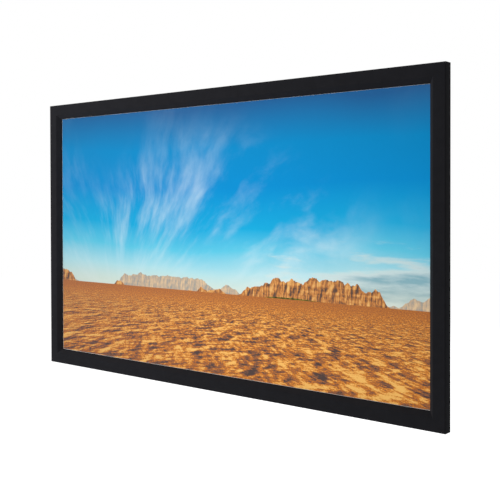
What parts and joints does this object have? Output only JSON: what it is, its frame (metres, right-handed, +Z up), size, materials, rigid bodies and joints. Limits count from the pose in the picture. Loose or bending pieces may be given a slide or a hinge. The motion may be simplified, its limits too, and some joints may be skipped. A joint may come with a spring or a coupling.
{
  "type": "fixed frame projector screen",
  "caption": "Wall-hung projector screen: a mitred, bevelled aluminium frame wrapped in black velvet, with a vinyl sheet held taut in it by rods and clips.",
  "frame": {"origin": "centre of the object's box, on the middle of the picture and half way between the frame's front and the wall", "axes": "+X to the viewer's right along the screen's width, +Y from the picture towards the wall, +Z up"},
  "size_m": [2.348, 0.0468, 1.388],
  "materials": {
    "aluminium": "mill-finish extrusion",
    "velvet": "black velvet pile",
    "screen_vinyl": "matt PVC film showing a landscape",
    "fibreglass": "pultruded fibreglass",
    "black_nylon": "moulded nylon",
    "zinc_steel": "zinc plated",
    "bracket_steel": "black powder coat"
  },
  "bodies": {
    "root": {"frame_left": "aluminium", "frame_right": "aluminium", "frame_top_left": "aluminium", "frame_top_right": "aluminium", "frame_bottom_left": "aluminium", "frame_bottom_right": "aluminium", "velvet_left": "velvet", "velvet_right": "velvet", "velvet_top_left": "velvet", "velvet_top_right": "velvet", "velvet_bottom_left": "velvet", "velvet_bottom_right": "velvet", "screen_sheet": "screen_vinyl", "tension_rod_left": "fibreglass", "tension_rod_right": "fibreglass", "tension_rod_top_left": "fibreglass", "tension_rod_top_right": "fibreglass", "tension_rod_bottom_left": "fibreglass", "tension_rod_bottom_right": "fibreglass", "tension_clip_top_1": "black_nylon", "tension_clip_top_2": "black_nylon", "tension_clip_top_3": "black_nylon", "tension_clip_top_4": "black_nylon", "tension_clip_top_5": "black_nylon", "tension_clip_top_6": "black_nylon", "tension_clip_top_7": "black_nylon", "tension_clip_top_8": "black_nylon", "tension_clip_bottom_1": "black_nylon", "tension_clip_bottom_2": "black_nylon", "tension_clip_bottom_3": "black_nylon", "tension_clip_bottom_4": "black_nylon", "tension_clip_bottom_5": "black_nylon", "tension_clip_bottom_6": "black_nylon", "tension_clip_bottom_7": "black_nylon", "tension_clip_bottom_8": "black_nylon", "tension_clip_left_1": "black_nylon", "tension_clip_left_2": "black_nylon", "tension_clip_left_3": "black_nylon", "tension_clip_left_4": "black_nylon", "tension_clip_left_5": "black_nylon", "tension_clip_right_1": "black_nylon", "tension_clip_right_2": "black_nylon", "tension_clip_right_3": "black_nylon", "tension_clip_right_4": "black_nylon", "tension_clip_right_5": "black_nylon", "corner_plate_top_left": "zinc_steel", "corner_plate_top_right": "zinc_steel", "corner_plate_bottom_left": "zinc_steel", "corner_plate_bottom_right": "zinc_steel", "splice_plate_top": "zinc_steel", "splice_plate_bottom": "zinc_steel", "support_bar": "aluminium", "support_shoe_top": "black_nylon", "support_shoe_bottom": "black_nylon", "wall_bracket_top_left": "bracket_steel", "wall_bracket_top_right": "bracket_steel", "wall_bracket_bottom_left": "bracket_steel", "wall_bracket_bottom_right": "bracket_steel"}
  },
  "joints": []
}
